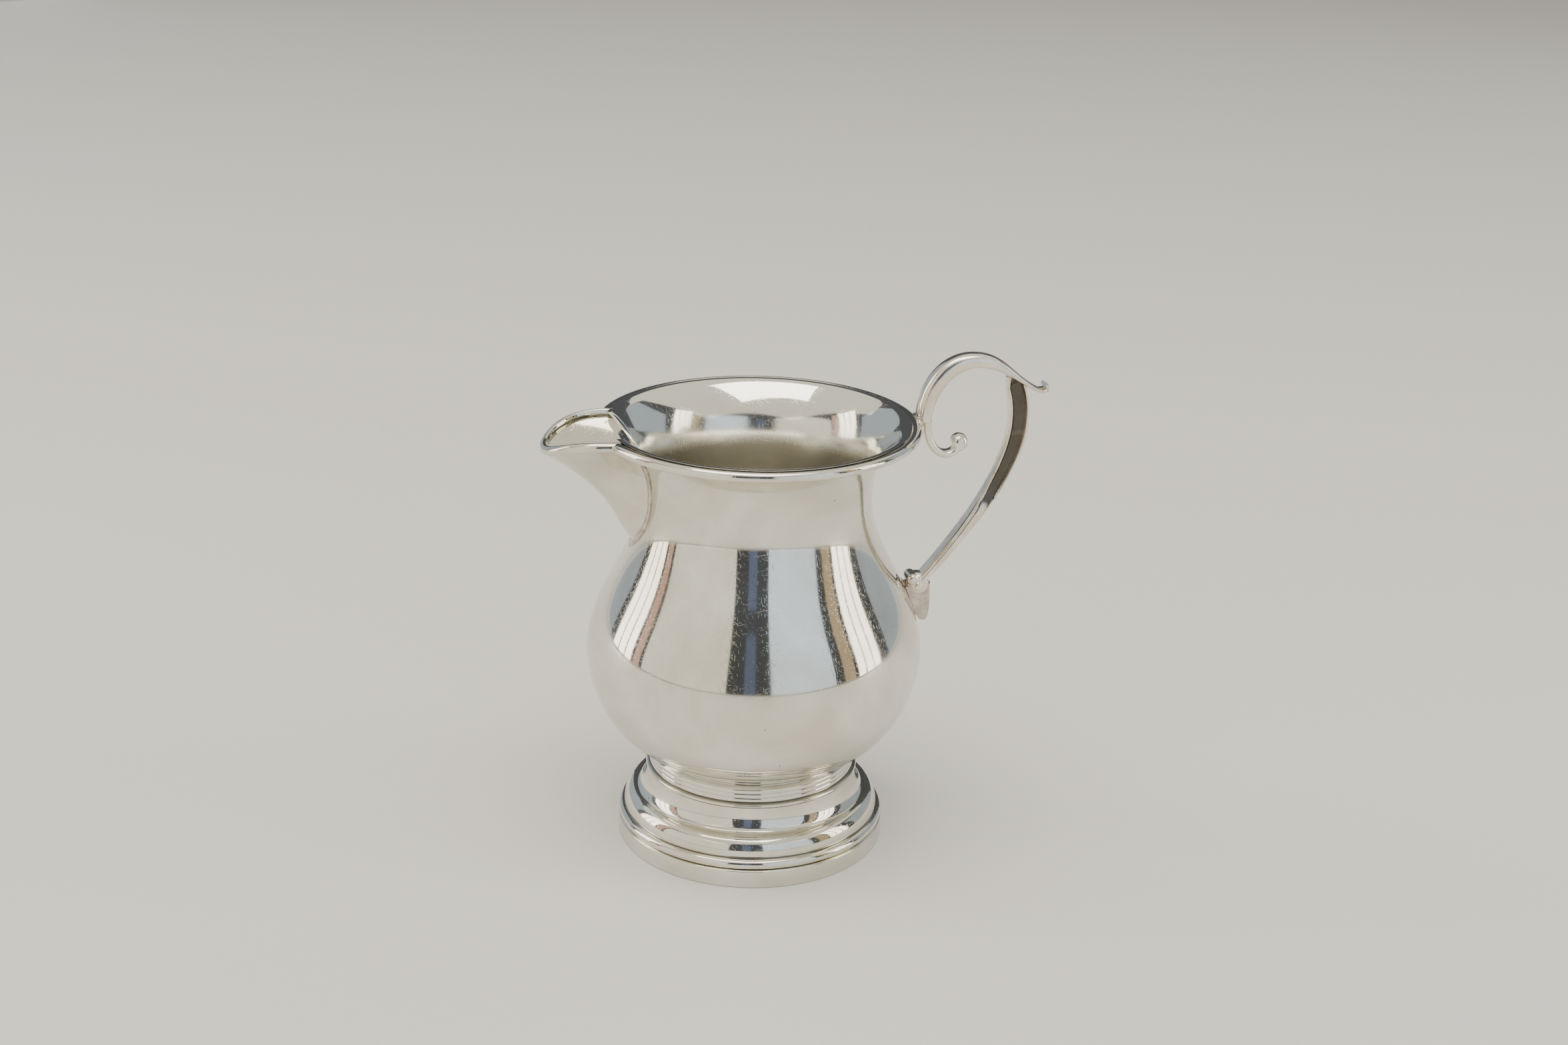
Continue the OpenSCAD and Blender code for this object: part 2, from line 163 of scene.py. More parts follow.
def soft_panel(name, bearing, distance, wide, glow, tint=WARM, height=0.42, tall=0.8, tip=0):
    """bearing is measured from the camera's side, positive to the right. glow is how bright
    the panel itself looks, and tip turns it down from upright."""
    turn = VIEW_AZIMUTH + math.radians(bearing)
    outward = Vector((math.sin(turn), -math.cos(turn), 0))
    place = outward * distance + Vector((0, 0, height))
    data = bpy.data.lights.new(name, "AREA")
    data.shape = "RECTANGLE"
    data.size = wide
    data.size_y = tall
    data.energy = glow * math.pi * wide * tall
    data.color = tint
    lamp = bpy.data.objects.new(name, data)
    lean = math.radians(tip)
    behind = outward * math.cos(lean) + Vector((0, 0, math.sin(lean)))
    lamp.matrix_world = Matrix.Translation(place) @ (
        behind.to_track_quat("Z", "Y").to_matrix().to_4x4())
    bpy.context.collection.objects.link(lamp)
    print(name, "at", [round(v, 2) for v in place])


PANE = 0.098
WINDOW_GLOW = 4.5

for pane, bearing in enumerate((-106, -99, -92)):
    soft_panel(f"left_window_{pane}", bearing, 0.95, PANE, WINDOW_GLOW)
for pane, bearing in enumerate((77, 84, 91)):
    soft_panel(f"right_window_{pane}", bearing, 0.95, PANE, WINDOW_GLOW)
soft_panel("left_curtain", -84, 1.0, 0.10, 0.8, ROSE)
soft_panel("right_curtain", 67, 1.0, 0.15, 0.55, GOLD)
soft_panel("left_wall", -48, 1.05, 1.25, 1.15, CREAM)
soft_panel("middle_gap", -2, 1.3, 0.17, 0.2, BLUE)
soft_panel("right_wall", 34, 1.05, 0.85, 1.25, COOL)
soft_panel("far_left_wall", -137, 1.3, 1.0, 0.5, COOL, height=0.45, tall=0.9)
soft_panel("far_right_wall", 125, 1.3, 1.0, 0.5, COOL, height=0.45, tall=0.9)
soft_panel("overhead", -20, 0.25, 1.1, 4.6, height=1.35, tip=80)
soft_panel("ceiling", 0, 0, 3.8, 0.9, CREAM, height=1.6, tall=3.8, tip=90)

# %% Air of the room
world = bpy.data.worlds.new("studio_air")
world.use_nodes = True
world.node_tree.nodes["Background"].inputs["Color"].default_value = (0.78, 0.82, 0.88, 1)
world.node_tree.nodes["Background"].inputs["Strength"].default_value = 0.12
bpy.context.scene.world = world
print("room light strength 0.12")

# %% [markdown]
# ## Node helpers
#
# The finishes are built from small parts: fine scratches, tarnish, pits. Each part is a
# node group that gives a mask, and every metal uses the same groups with its own values.

# %% Helper that adds one node
def put(tree, kind, inputs=None, **settings):
    made = tree.nodes.new("ShaderNode" + kind)
    made.location = (190 * (len(tree.nodes) % 9), -260 * (len(tree.nodes) // 9))
    for key, value in settings.items():
        setattr(made, key, value)
    for key, value in (inputs or {}).items():
        if isinstance(value, bpy.types.NodeSocket):
            tree.links.new(value, made.inputs[key])
        else:
            made.inputs[key].default_value = value
    return made


def maths(tree, operation, a, b=0.0, clamp=False):
    return put(tree, "Math", {0: a, 1: b}, operation=operation, use_clamp=clamp).outputs[0]


def start_group(name, inputs, outputs):
    """A new node group with named sockets. An input is (name, type, value)."""
    tree = bpy.data.node_groups.new(name, "ShaderNodeTree")
    for label, kind, value in inputs:
        socket = tree.interface.new_socket(label, in_out="INPUT", socket_type="NodeSocket" + kind)
        if value is not None:
            socket.default_value = value
    for label, kind in outputs:
        tree.interface.new_socket(label, in_out="OUTPUT", socket_type="NodeSocket" + kind)
    given = tree.nodes.new("NodeGroupInput").outputs
    return tree, given, tree.nodes.new("NodeGroupOutput").inputs


def use_group(tree, group, inputs):
    made = put(tree, "Group", node_tree=group)
    for key, value in inputs.items():
        if isinstance(value, bpy.types.NodeSocket):
            tree.links.new(value, made.inputs[key])
        else:
            made.inputs[key].default_value = value
    return made.outputs


print("node helpers ready")

# %% [markdown]
# ## Hairline scratches
#
# Years of polishing cloths leave fine lines that only show where light grazes them. Noise
# that is stretched a lot in one direction, and kept only where it is strongest, gives short
# thin lines. Three such sets, turned different ways, look like random wiping.

# %% Group: hairlines
LINE_AXIS = (0.35, 0.9, 0.25)
LINE_STRETCH = (0.035, 1.0, 1.0)
hairlines, given, out = start_group(
    "hairlines",
    [("Vector", "Vector", None), ("Turn", "Float", 0.0), ("Lines per metre", "Float", 4000.0),
     ("Threshold", "Float", 0.66)],
    [("Mask", "Float")])
turned = put(hairlines, "VectorRotate", {"Vector": given["Vector"], "Axis": LINE_AXIS,
                                         "Angle": given["Turn"]})
stretched = put(hairlines, "VectorMath", {0: turned.outputs[0], 1: LINE_STRETCH},
                operation="MULTIPLY")
lines = put(hairlines, "TexNoise", {"Vector": stretched.outputs[0], "Scale": given["Lines per metre"],
                                    "Detail": 1.0, "Roughness": 0.4})
above = maths(hairlines, "SUBTRACT", lines.outputs["Fac"], given["Threshold"])
mask = maths(hairlines, "MULTIPLY", above, 14.0, clamp=True)
hairlines.links.new(mask, out["Mask"])
print("hairlines:", len(hairlines.nodes), "nodes")

# %% [markdown]
# ## Tarnish, smudges and pits
#
# Silver darkens unevenly. Broad soft patches carry both the yellowish tarnish and the dull
# smudges of fingers, so one group serves for both, at different sizes. Pits are the few
# tiny holes that casting or wear leaves: only some cells of a Voronoi pattern get one.

# %% Group: patches
patches, given, out = start_group(
    "patches", [("Vector", "Vector", None), ("Patch size", "Float", 0.01), ("Cover", "Float", 0.5),
                ("Softness", "Float", 0.2)], [("Mask", "Float")])
scale = maths(patches, "DIVIDE", 1.0, given["Patch size"])
cloud = put(patches, "TexNoise", {"Vector": given["Vector"], "Scale": scale, "Detail": 5.0,
                                  "Roughness": 0.6, "Distortion": 0.4})
limit = maths(patches, "SUBTRACT", 1.0, given["Cover"])
over = maths(patches, "SUBTRACT", cloud.outputs["Fac"], limit)
spread = maths(patches, "DIVIDE", over, given["Softness"])
mask = maths(patches, "ADD", spread, 0.5, clamp=True)
patches.links.new(mask, out["Mask"])
print("patches:", len(patches.nodes), "nodes")

# %% Group: pits
pits, given, out = start_group(
    "pits", [("Vector", "Vector", None), ("Spacing", "Float", 0.003), ("Pit radius", "Float", 0.05),
             ("Share", "Float", 0.3)], [("Mask", "Float")])
scale = maths(pits, "DIVIDE", 1.0, given["Spacing"])
cells = put(pits, "TexVoronoi", {"Vector": given["Vector"], "Scale": scale})
near = maths(pits, "LESS_THAN", cells.outputs["Distance"], given["Pit radius"])
split = put(pits, "SeparateColor", {0: cells.outputs["Color"]})
chosen = maths(pits, "LESS_THAN", split.outputs[0], given["Share"])
pits.links.new(maths(pits, "MULTIPLY", near, chosen), out["Mask"])
print("pits:", len(pits.nodes), "nodes")

# %% [markdown]
# ## Polished silver
#
# A metal shader with a pale, slightly warm colour and a low roughness. The groups change
# both only a little: on silver a small change in roughness shows more than a change in
# colour. Hollows, which a cloth can't reach, keep a dark film. How hollow a place is gets
# measured on the mesh later and kept in an attribute named "hollow".

# %% Polished silver
BRIGHT = (0.82, 0.80, 0.735, 1)
DULL = (0.60, 0.565, 0.46, 1)
# Dark tarnish in hollows and pits. In the handle's channel the same colour is painted shade, standing
# in for a dark reflection.
FILM_AND_SHADE = (0.055, 0.046, 0.036, 1)
CLEAN_ROUGHNESS = 0.04
FILM_AND_SHADE_STRENGTH = 0.94
WIPES = ((0.2, 5200.0), (1.9, 4300.0), (2.8, 6400.0))
DULL_EDGE_WANDER = 0.003
PIT_SPACING = 0.0035
PIT_SHARE = 0.035
PIT_DEPTH = 0.00002


def mix_colour(tree, share, first, second):
    made = put(tree, "Mix", data_type="RGBA", clamp_factor=True)
    for key, value in ((0, share), (6, first), (7, second)):
        if isinstance(value, bpy.types.NodeSocket):
            tree.links.new(value, made.inputs[key])
        else:
            made.inputs[key].default_value = value
    return made.outputs[2]


def metal(name, bright, dull, film_and_shade, gloss, tarnish, scratch, wave, grain, clean_above=None):
    """gloss is (roughness when clean, extra where smudged, extra in hollows).
    tarnish is (patch size, cover, softness, strength), scratch is (threshold, depth),
    wave is (size, depth) and grain is (size, depth, pit share), in metres. clean_above is
    (low, high): the metal is dull below the first height and polished above the second."""
    finish = bpy.data.materials.new(name)
    finish.use_nodes = True
    tree = finish.node_tree
    shader = tree.nodes["Principled BSDF"]
    shader.inputs["Metallic"].default_value = 1.0
    place = put(tree, "TexCoord").outputs["Object"]
    hollow = put(tree, "Attribute", attribute_name="hollow").outputs["Fac"]

    stain = use_group(tree, patches, {"Vector": place, "Patch size": tarnish[0], "Cover": tarnish[1],
                                      "Softness": tarnish[2]})["Mask"]
    smudge = use_group(tree, patches, {"Vector": place, "Patch size": tarnish[0] * 0.45, "Cover": 0.5,
                                       "Softness": 0.35})["Mask"]
    dull_share = 1.0
    if clean_above:
        height = put(tree, "SeparateXYZ", {0: place}).outputs["Z"]
        wander = maths(tree, "MULTIPLY", maths(tree, "SUBTRACT", smudge, 0.5), DULL_EDGE_WANDER)
        faded = put(tree, "MapRange", {0: maths(tree, "ADD", height, wander), 1: clean_above[0],
                                       2: clean_above[1], 3: 1.0, 4: 0.0},
                    interpolation_type="SMOOTHSTEP")
        dull_share = faded.outputs[0]
        stain = maths(tree, "MULTIPLY", stain, dull_share)
    sets = [use_group(tree, hairlines, {"Vector": place, "Turn": turn, "Lines per metre": count,
                                        "Threshold": scratch[0]})["Mask"] for turn, count in WIPES]
    lines = maths(tree, "MAXIMUM", maths(tree, "MAXIMUM", sets[0], sets[1]), sets[2])
    pit = use_group(tree, pits, {"Vector": place, "Spacing": PIT_SPACING, "Pit radius": PIT_SHARE,
                                 "Share": grain[2]})["Mask"]

    # Dark tarnish in hollows and pits, plus the painted shade laid onto the handle's channel.
    film_and_shade_mask = maths(tree, "MAXIMUM", maths(tree, "MULTIPLY", hollow, FILM_AND_SHADE_STRENGTH), pit)
    tinted = mix_colour(tree, maths(tree, "MULTIPLY", stain, tarnish[3]), bright, dull)
    colour = mix_colour(tree, film_and_shade_mask, tinted, film_and_shade)
    tree.links.new(colour, shader.inputs["Base Color"])

    smeared = maths(tree, "ADD", maths(tree, "MULTIPLY", smudge, gloss[1]), gloss[0] - CLEAN_ROUGHNESS)
    rough = maths(tree, "ADD", maths(tree, "MULTIPLY", smeared, dull_share), CLEAN_ROUGHNESS)
    rough = maths(tree, "ADD", rough, maths(tree, "MULTIPLY", lines, gloss[1]))
    rough = maths(tree, "ADD", rough, maths(tree, "MULTIPLY", film_and_shade_mask, gloss[2]), clamp=True)
    tree.links.new(rough, shader.inputs["Roughness"])

    swell = put(tree, "TexNoise", {"Vector": place, "Scale": 1 / wave[0], "Detail": 1.0})
    sand = put(tree, "TexNoise", {"Vector": place, "Scale": 1 / grain[0], "Detail": 4.0})
    relief = maths(tree, "MULTIPLY", swell.outputs["Fac"], wave[1])
    relief = maths(tree, "ADD", relief, maths(tree, "MULTIPLY", sand.outputs["Fac"], grain[1]))
    relief = maths(tree, "SUBTRACT", relief, maths(tree, "MULTIPLY", lines, scratch[1]))
    relief = maths(tree, "SUBTRACT", relief, maths(tree, "MULTIPLY", pit, PIT_DEPTH))
    bump = put(tree, "Bump", {"Height": maths(tree, "MULTIPLY", relief, 1000.0), "Strength": 1.0,
                              "Distance": 0.001})
    tree.links.new(bump.outputs[0], shader.inputs["Normal"])
    return finish


polished = metal(
    "polished_silver", BRIGHT, DULL, FILM_AND_SHADE, gloss=(0.045, 0.05, 0.35),
    tarnish=(0.022, 0.5, 0.25, 0.7), scratch=(0.672, 0.000003),
    wave=(0.014, 0.00002), grain=(0.0012, 0.0000006, 0.10))
print("polished silver:", len(polished.node_tree.nodes), "nodes")

# %% [markdown]
# ## The other metals
#
# The inside of the bowl is never polished as hard, so it is greyer and rougher low down.
# The cast handle keeps a soft mottled skin. Solder is duller and has a lumpy, brownish
# skin. All three are the same recipe with other values.

# %% Inside, cast and solder silver
inside = metal(
    "inside_silver", (0.82, 0.80, 0.735, 1), (0.55, 0.52, 0.41, 1), FILM_AND_SHADE,
    gloss=(0.30, 0.12, 0.3), tarnish=(0.018, 0.52, 0.3, 0.7), scratch=(0.66, 0.000002),
    wave=(0.020, 0.000003), grain=(0.0008, 0.0000015, 0.0), clean_above=(0.067, 0.0835))
cast = metal(
    "cast_silver", (0.86, 0.83, 0.76, 1), (0.66, 0.58, 0.47, 1), FILM_AND_SHADE,
    gloss=(0.10, 0.12, 0.12), tarnish=(0.0045, 0.52, 0.22, 0.75), scratch=(0.69, 0.000002),
    wave=(0.0042, 0.00006), grain=(0.0009, 0.000006, 0.35))
solder = metal(
    "solder", (0.66, 0.62, 0.57, 1), (0.44, 0.36, 0.31, 1), FILM_AND_SHADE,
    gloss=(0.26, 0.2, 0.3), tarnish=(0.0022, 0.52, 0.2, 0.8), scratch=(0.74, 0.000001),
    wave=(0.0022, 0.00012), grain=(0.0006, 0.00003, 0.5))
print("metals:", [m.name for m in (polished, inside, cast, solder)])

# %% [markdown]
# ## From a mesh in millimetres to a finished piece
#
# Every piece ends the same way. Points that lie on each other are merged, the hollows are
# measured, and the mesh is made metres, given its metal, parented to the root and named after
# the drafted piece that it stands for, which is hidden. A point is hollow when its neighbours
# stand in front of it, along its normal.

# %% Measure the hollows
def measure_hollows(mesh, reach, softening, laid):
    """Writes 0 to 1 to the attribute named hollow. reach is the share of an edge's length that
    counts as a full hollow, and laid adds dark tarnish where a piece asks for it; on the
    handle's limb it is also painted shade."""
    bm = bmesh.new()
    bm.from_mesh(mesh)
    depth = []
    for point in bm.verts:
        near = [edge.other_vert(point).co for edge in point.link_edges]
        middle = sum(near, Vector()) / max(1, len(near))
        size = sum((n - point.co).length for n in near) / max(1, len(near))
        depth.append((middle - point.co).dot(point.normal) / max(size, 1e-6))
    for _ in range(softening):
        depth = [
            (depth[v.index] + sum(depth[e.other_vert(v).index] for e in v.link_edges))
            / (1 + len(v.link_edges)) for v in bm.verts]
    bm.free()
    kept = mesh.attributes.new("hollow", "FLOAT", "POINT")
    laid = laid or [0] * len(depth)
    kept.data.foreach_set("value", [min(1, max(0, d / reach, f)) for d, f in zip(depth, laid)])


print("hollow measure ready")

# %% Finish a piece
def finish_piece(bm, node, metals, sharp=50, reach=0.25, softening=2, film_and_shade=None):
    """The optional function gives how much dark colour each point carries, from its own place:
    tarnish, and in the handle's channel painted shade.
    """
    bmesh.ops.remove_doubles(bm, verts=bm.verts[:], dist=0.0005)
    bm.verts.ensure_lookup_table()
    laid = [film_and_shade(v.co) for v in bm.verts] if film_and_shade else None
    mesh = bpy.data.meshes.new(node + "_finished")
    bm.to_mesh(mesh)
    bm.free()
    measure_hollows(mesh, reach, softening, laid)
    mesh.transform(Matrix.Scale(MM, 4))
    mesh.shade_smooth()
    mesh.set_sharp_from_angle(angle=math.radians(sharp))
    for finish in metals:
        mesh.materials.append(finish)
    piece = bpy.data.objects.new(node + "_finished", mesh)
    bpy.context.collection.objects.link(piece)
    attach(piece, "root")
    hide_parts(node)
    print(node, len(mesh.polygons), "faces")


print("piece finisher ready")

# %% [markdown]
# ## Giving a sheet its wall
#
# Silver vessels are sheet metal. We shape the outer face first, then copy it, move the copy
# inwards and bridge the two free edges. That keeps full control of where the inner face
# lies, which a modifier would not: here the mouth's edge has to stay flat. The inner face
# and the cut edges take the second metal, because no cloth polishes them as hard.

# %% Add the inner wall
def give_wall(bm, inner_place, bevel_width):
    """inner_place takes a point of the outer face and gives the one behind it."""
    outer_rim = [edge for edge in bm.edges if edge.is_boundary]
    copied = bmesh.ops.duplicate(bm, geom=bm.verts[:] + bm.edges[:] + bm.faces[:])
    inner = [g for g in copied["geom"] if isinstance(g, bmesh.types.BMVert)]
    inner_faces = [g for g in copied["geom"] if isinstance(g, bmesh.types.BMFace)]
    bmesh.ops.reverse_faces(bm, faces=inner_faces)
    for point, moved in [(p, inner_place(p)) for p in inner]:
        point.co = moved
    inner_rim = [edge for face in inner_faces for edge in face.edges if edge.is_boundary]
    bridge = bmesh.ops.bridge_loops(bm, edges=outer_rim + list(set(inner_rim)))
    for face in inner_faces + bridge["faces"]:
        face.material_index = 1
    bmesh.ops.recalc_face_normals(bm, faces=bm.faces[:])
    cut_faces = bridge["faces"]
    rim = [edge for edge in bm.edges
           if len(edge.link_faces) == 2 and len({f in cut_faces for f in edge.link_faces}) == 2]
    if bevel_width:
        bmesh.ops.bevel(bm, geom=rim, offset=bevel_width, offset_type="OFFSET", segments=2,
                        profile=0.5, affect="EDGES", material=-1, clamp_overlap=True)


print("wall helper ready")

# %% [markdown]
# ## The outline of the bowl
#
# Seen from the side, the bowl is three curves that run into each other: a full lower belly,
# a long S-shaped shoulder, and the flare of the mouth. Each is a short formula, so the line
# is fair: a bump of a tenth of a millimetre would already bend the reflections.

# %% Outline of the bowl
def lower_r(z):
    share = (belly_z - z) / (belly_z - waist_z)
    return waist_r + (belly_r - waist_r) * max(0, 1 - share ** lower_power) ** (1 / lower_power)


def shoulder_r(z):
    turn = math.pi * (z - belly_z) / (neck_z - belly_z)
    return neck_r + (belly_r - neck_r) * (1 + math.cos(turn)) / 2


def flare_r(z):
    return neck_r + (mouth_r - neck_r) * ((z - neck_z) / (mouth_z - neck_z)) ** flare_power


def bowl_r(z):
    if z < belly_z:
        return lower_r(max(z, waist_z))
    return shoulder_r(z) if z < neck_z else flare_r(min(z, mouth_z))


print("radius of belly, neck, mouth:", [round(bowl_r(z), 2) for z in (belly_z, neck_z, mouth_z)])

# %% [markdown]
# ## The spout's outline
#
# The spout is a separate sheet, folded to a beak and soldered over a slot in the neck. Its
# keel line swells out under the mouth; its edge leaves the mouth at two cusps and droops a
# little towards the tip. One function gives any point of the sheet, so the bowl's slot, the
# wire on the edge and the solder seam can all follow it exactly.

# %% Outline of the spout
spout_low, spout_high = box_mm("spout")
spout_half_w = spout_high.y
spout_root_z = spout_low.z
spout_reach = -spout_low.x
spout_wall = 0.9
tip_droop = 3
wire_seat = 0.75 * wire_r
cusp_bearing = math.asin(spout_half_w / wire_ring_r)
keel = [
    Vector((bowl_r(spout_root_z) - 1.2, spout_root_z)),
    Vector((bowl_r(spout_root_z) + 3.8, spout_root_z + 4)),
    Vector((neck_r + 3.3, neck_z)),
    Vector((spout_reach, mouth_z - tip_droop - wire_r - wire_seat))]


def bezier(points, t):
    a, b, c, d = points
    return (1 - t) ** 3 * a + 3 * (1 - t) ** 2 * t * b + 3 * (1 - t) * t * t * c + t ** 3 * d


def edge_z(bearing):
    """Height of the spout's edge, lowest at the tip, where bearing is 0."""
    return mouth_z - wire_r - wire_seat - tip_droop * math.cos(bearing) ** 3


def side_w(share):
    """Half the spout's width, from its root at share 0 to its edge at share 1."""
    waist_w = spout_half_w / 2
    return (0.3 + (waist_w - 0.3) * (1 - (1 - share) ** 6)
            + (spout_half_w - waist_w) * share ** 4)


def spout_point(t, bearing, inset):
    """t runs from the root to the edge, bearing from one side of the spout to the other."""
    keel_r, keel_z = bezier(keel, t)
    share = (keel_z - keel[0].y) / (keel[3].y - keel[0].y)
    low = spout_root_z + 1.3 * inset * (1 - share)
    z = low + (edge_z(bearing) - low) * share
    side_r = bowl_r(z) + (wire_ring_r - bowl_r(z)) * share ** 6
    behind = math.sqrt(side_r ** 2 - side_w(share) ** 2)
    front = max(keel_r - inset, behind + 0.2)
    width = max(side_w(share) - inset, 0.1)
    return Vector((-behind - (front - behind) * math.cos(bearing), width * math.sin(bearing), z))


print("cusps", round(math.degrees(cusp_bearing), 1), "degrees either side of the spout")

# %% [markdown]
# ## The bowl
#
# On the real jug the bowl is spun on a lathe, and the spin operator does the same. The slot
# for the spout could be cut with a Boolean, but that leaves ragged triangles that show in a
# mirror finish. Instead the spin starts and ends at the spout, and the two ends are drawn
# apart like the front of a coat. Below the spout they meet and are merged.

# %% Spin the bowl
def bowl_heights():
    lower = [waist_z + (belly_z - waist_z) * (1 - math.cos(math.pi / 2 * i / 26)) for i in range(27)]
    shoulder = [belly_z + (neck_z - belly_z) * i / 58 for i in range(1, 59)]
    flare = [neck_z + (mouth_z - neck_z) * i / 30 for i in range(1, 31)]
    return lower + shoulder + flare


def slot_half_w(z):
    """Half the slot's width at a height, a little inside the spout's own sheet."""
    share = (z - spout_root_z - 1.6) / (mouth_z - spout_root_z)
    return max(0.0, side_w(share) - spout_wall - 0.3) if share > 0 else 0.0


# Half the angle, in radians, at which the spin starts and ends apart.
GAP = 0.002
bm = bmesh.new()
outline = [(0.0, waist_z - bottom_sag)]
outline += [(waist_r * k / 6, waist_z - bottom_sag * (1 - (k / 6) ** 2)) for k in range(1, 6)]
outline += [(bowl_r(z), z) for z in bowl_heights()]
points = [bm.verts.new((-r, 0, z)) for r, z in outline]
for pair in zip(points, points[1:]):
    bm.edges.new(pair)
bmesh.ops.rotate(bm, verts=bm.verts[:], cent=(0, 0, 0), matrix=Matrix.Rotation(GAP, 3, "Z"))
bmesh.ops.spin(bm, geom=bm.verts[:] + bm.edges[:], cent=(0, 0, 0), axis=(0, 0, 1),
               angle=2 * math.pi - 2 * GAP, steps=176, use_merge=False)
print("spun", len(bm.verts), "points")

# %% Draw the two ends apart for the spout
for point in bm.verts:
    r = math.hypot(point.co.x, point.co.y)
    if r < 0.01:
        continue
    turn = math.atan2(-point.co.y, -point.co.x)
    half = math.asin(min(1, slot_half_w(point.co.z) / r))
    away = abs(turn)
    side = 1 if turn > 0 else -1
    moved = away + (half - GAP) * (1 - away / math.pi)
    point.co.x, point.co.y = -r * math.cos(moved), -r * math.sin(moved) * side
bmesh.ops.remove_doubles(bm, verts=bm.verts[:], dist=0.001)
bmesh.ops.recalc_face_normals(bm, faces=bm.faces[:])
if sum(f.normal.dot(f.calc_center_median()) for f in bm.faces) < 0:
    bmesh.ops.reverse_faces(bm, faces=bm.faces[:])
bm.normal_update()


def bowl_inside(point):
    """Level with the outer point above the belly, square to the sheet below it."""
    r = math.hypot(point.co.x, point.co.y)
    if r < 0.01:
        return point.co + Vector((0, 0, body_wall))
    slope = (bowl_r(min(point.co.z + 0.05, mouth_z)) - bowl_r(point.co.z - 0.05)) / 0.1
    steep = math.hypot(1, slope)
    run, rise = 0, body_wall
    if point.co.z >= belly_z:
        run, rise = body_wall * steep, 0
    elif r >= waist_r - 0.01:
        run, rise = body_wall / steep, body_wall * min(1.0, slope / steep)
    return Vector((point.co.x * (1 - run / r), point.co.y * (1 - run / r), point.co.z + rise))


give_wall(bm, bowl_inside, 0.1)
finish_piece(bm, "body", [polished, inside], sharp=35)

# %% [markdown]
# ## The spout
#
# A flat grid of squares is laid over the spout's formula: one direction runs up from the
# root, the other from side to side. Its two long sides are led a little way into the bowl's
# wall, so that no gap shows at the seam.

# %% Lay a grid over a formula
def shaped_grid(across, along, place):
    """A grid whose points are put in place by their shares, 0 to 1, across and along."""
    bm = bmesh.new()
    bmesh.ops.create_grid(bm, x_segments=across, y_segments=along, size=1)
    for point in bm.verts:
        point.co = place((point.co.x + 1) / 2, (point.co.y + 1) / 2)
    return bm


print("grid helper ready")

# %% Shape the spout
SPOUT_COLUMNS = 60
SPOUT_ROWS = 48
LEAD = 1 / (SPOUT_COLUMNS + 2)
LEAD_DEPTH = 0.45


def sheet_point(across, along, inset):
    """A point of the sheet. The outermost column on each side is led into the bowl's wall."""
    bearing = math.pi * ((across - LEAD) / (1 - 2 * LEAD) - 0.5)
    led = across < LEAD / 2 or across > 1 - LEAD / 2
    point = spout_point(along, max(-math.pi / 2, min(math.pi / 2, bearing)), inset)
    if led:
        r = math.hypot(point.x, point.y)
        share = (bowl_r(point.z) - LEAD_DEPTH) / r
        point.x, point.y = point.x * share, point.y * share
    return point


bm = bmesh.new()
bmesh.ops.create_grid(bm, x_segments=SPOUT_COLUMNS + 2, y_segments=SPOUT_ROWS, size=1)
across_layer = bm.verts.layers.float.new("across")
along_layer = bm.verts.layers.float.new("along")
for point in bm.verts:
    point[across_layer], point[along_layer] = (point.co.x + 1) / 2, (point.co.y + 1) / 2
    point.co = sheet_point(point[across_layer], point[along_layer], 0)
give_wall(bm, lambda p: sheet_point(p[across_layer], p[along_layer], spout_wall), 0)
finish_piece(bm, "spout", [polished, polished], sharp=40)

# %% [markdown]
# ## The wires
#
# A wire is soldered under the mouth and along the spout to stiffen the thin edge. The round
# one is a circle spun about the jug's axis, stopping at the two cusps. A narrow web behind
# it closes the joint with the sheet. The one on the spout sits on the sheet's edge: round
# on the outside, level with the sheet inside so that nothing holds the stream back. Two
# bisecting planes through the jug's axis cut it off where the round wire ends.

# %% Wire round the mouth
bm = bmesh.new()
start = math.pi - cusp_bearing
bmesh.ops.create_circle(bm, cap_ends=True, segments=28, radius=wire_r)
bmesh.ops.rotate(bm, verts=bm.verts[:], cent=(0, 0, 0), matrix=Matrix.Rotation(math.pi / 2, 3, "X"))
bmesh.ops.translate(bm, verts=bm.verts[:], vec=(wire_ring_r, 0, mouth_z - wire_r))
for point in bm.verts:
    if point.co.x < wire_ring_r - wire_r * 0.55:
        point.co.x = bowl_r(point.co.z) - 0.25
bmesh.ops.rotate(bm, verts=bm.verts[:], cent=(0, 0, 0), matrix=Matrix.Rotation(start, 3, "Z"))
bmesh.ops.spin(bm, geom=bm.faces[:], cent=(0, 0, 0), axis=(0, 0, 1),
               angle=-(2 * math.pi - 2 * cusp_bearing), steps=210)
bmesh.ops.recalc_face_normals(bm, faces=bm.faces[:])
finish_piece(bm, "rim_wire", [polished], sharp=60, reach=0.6)

# %% Wire on the spout's edge
WIRE_STEPS = 96
OVERRUN = 0.03


def wire_place(around, along):
    """The wire runs a little past each cusp, so that the planes have something to cut."""
    bearing = math.pi * (along * (1 + 2 * OVERRUN) - OVERRUN - 0.5)
    held = max(-math.pi / 2, min(math.pi / 2, bearing))
    middle = spout_point(1, held, spout_wall / 2 + 0.03) + Vector((0, 0, wire_seat + 0.02))
    middle.x += wire_r * 2.2 * min(1, abs(bearing - held) / 0.09)
    ahead, behind = (spout_point(1, max(-1.5707, min(1.5707, held + d)), 0) for d in (0.02, -0.02))
    run = Vector((ahead.x - behind.x, ahead.y - behind.y, 0)).normalized()
    if abs(bearing) > math.pi / 2:
        run = Vector((-1 if bearing < 0 else 1, 0, 0))
    outward = Vector((-run.y, run.x, 0))
    turn = 2 * math.pi * around
    drop = max(math.sin(turn) * wire_r, -wire_seat)
    sideways = math.cos(turn) * (wire_r if math.cos(turn) > 0 else spout_wall / 2)
    return middle + outward * sideways + Vector((0, 0, drop))


